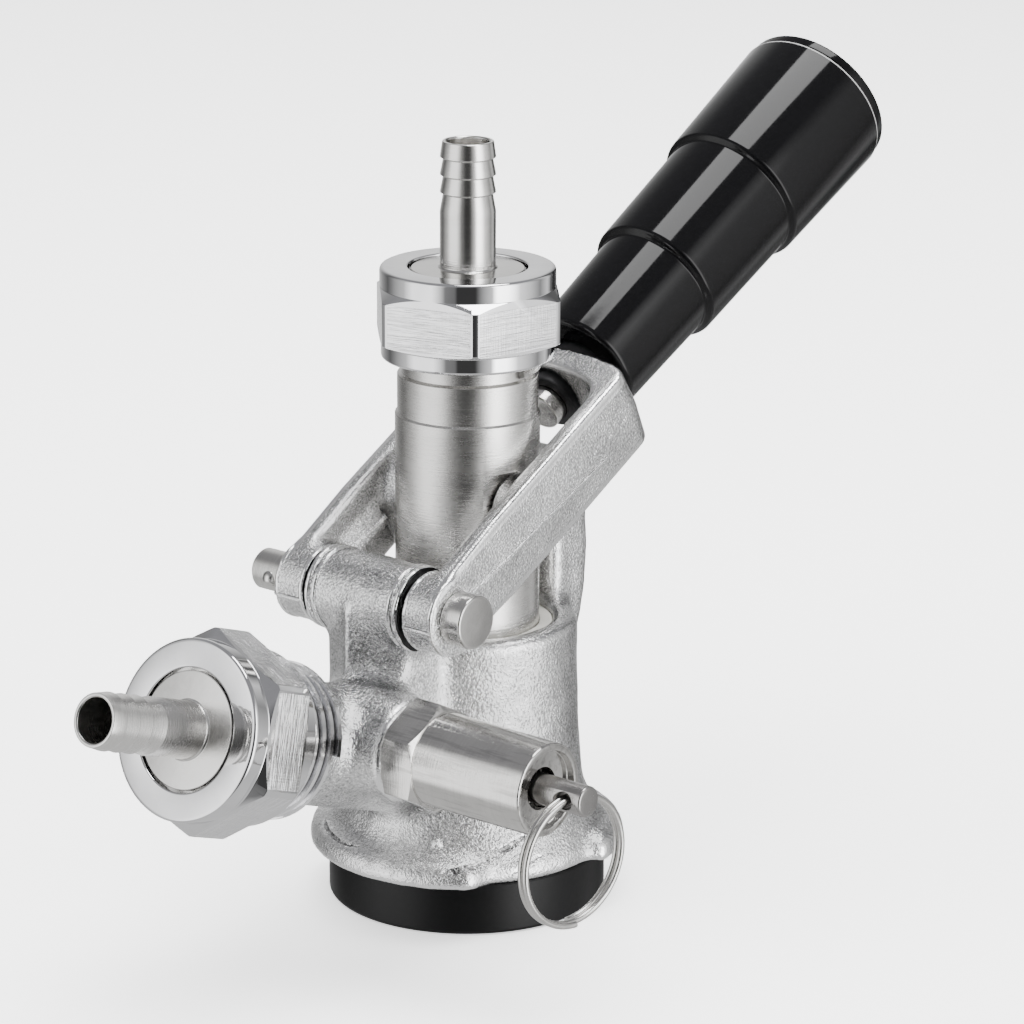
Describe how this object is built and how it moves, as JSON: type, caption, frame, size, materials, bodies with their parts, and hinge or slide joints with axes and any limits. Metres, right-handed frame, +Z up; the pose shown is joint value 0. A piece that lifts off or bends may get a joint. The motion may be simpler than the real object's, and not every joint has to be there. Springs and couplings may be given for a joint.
{
  "type": "keg coupler",
  "caption": "Lever-operated keg coupler: lobed body, sliding beer probe with hose barb, inclined gas barb, relief valve with pull ring, black grip.",
  "frame": {"origin": "on the probe axis, in the plane of the underside of the base ring", "axes": "+Z up along the probe to the beer barb, -Y towards the gas inlet, +Y towards the handle, +X towards the relief valve"},
  "size_m": [0.0723, 0.1775, 0.1242],
  "materials": {
    "plated_casting": "satin nickel-chrome over a pebbled casting",
    "plated_nut": "polished",
    "stainless": "turned and brushed",
    "spring_steel": "drawn wire",
    "black_grip": "gloss",
    "black_ring": "satin",
    "black_bushing": "satin",
    "bush_plastic": "satin",
    "seal_rubber": "satin",
    "silicone": "translucent, satin"
  },
  "bodies": {
    "body": {"body_casting": "plated_casting", "base_ring": "black_ring", "body_seal": "seal_rubber", "guide_bush": "bush_plastic", "upper_probe_seal": "seal_rubber", "hinge_pin": "stainless", "hinge_pin_ball": "stainless", "gas_union_nut": "plated_nut", "gas_tailpiece": "stainless", "gas_washer": "silicone", "gas_check_valve": "silicone", "relief_valve_body": "stainless", "relief_valve_spring": "spring_steel"},
    "lever": {"lever_fork": "plated_casting", "plunger_bushing": "black_bushing", "plunger_spring": "spring_steel"},
    "handle": {"handle_grip": "black_grip", "grip_end_cap": "black_grip", "lock_plunger": "stainless"},
    "beer_probe": {"probe": "stainless", "probe_foot_seal": "seal_rubber", "ball_retainer": "bush_plastic", "beer_washer": "silicone", "beer_tailpiece": "stainless", "beer_union_nut": "plated_nut"},
    "check_ball": {"beer_check_ball": "stainless"},
    "relief_stem": {"relief_valve_stem": "stainless", "relief_valve_disc": "seal_rubber"},
    "ring": {"pull_ring": "stainless"}
  },
  "joints": [
    {"name": "lever_swing", "type": "hinge", "parent": "body", "child": "lever", "pos_m": [0, -0.021, 0.0528], "axis": [-1, 0, 0], "range_deg": [0, 28.5]},
    {"name": "probe_slide", "type": "slide", "parent": "body", "child": "beer_probe", "axis": [0, 0, -1], "range_m": [0, 0.01126]},
    {"name": "handle_pull", "type": "slide", "parent": "lever", "child": "handle", "axis": [0, 0.8763, 0.4818], "range_m": [-0.002, 0.004], "stiffness_N_per_m": 400, "deforming": ["plunger_spring"]},
    {"name": "ball_lift", "type": "slide", "parent": "beer_probe", "child": "check_ball", "axis": [0, 0, 1], "range_m": [0, 0.003]},
    {"name": "relief_pull", "type": "slide", "parent": "body", "child": "relief_stem", "axis": [1, 0, 0], "range_m": [0, 0.003], "stiffness_N_per_m": 1500, "springref_m": -0.004, "deforming": ["relief_valve_spring"]},
    {"name": "ring_swing", "type": "hinge", "parent": "relief_stem", "child": "ring", "pos_m": [0.045, -0.0294, 0.0337], "axis": [0, -1, 0], "range_deg": [-30, 90]}
  ],
  "couplings": [
    {"joint": "probe_slide", "follows": "lever_swing", "m_per_rad": 0.022608}
  ]
}
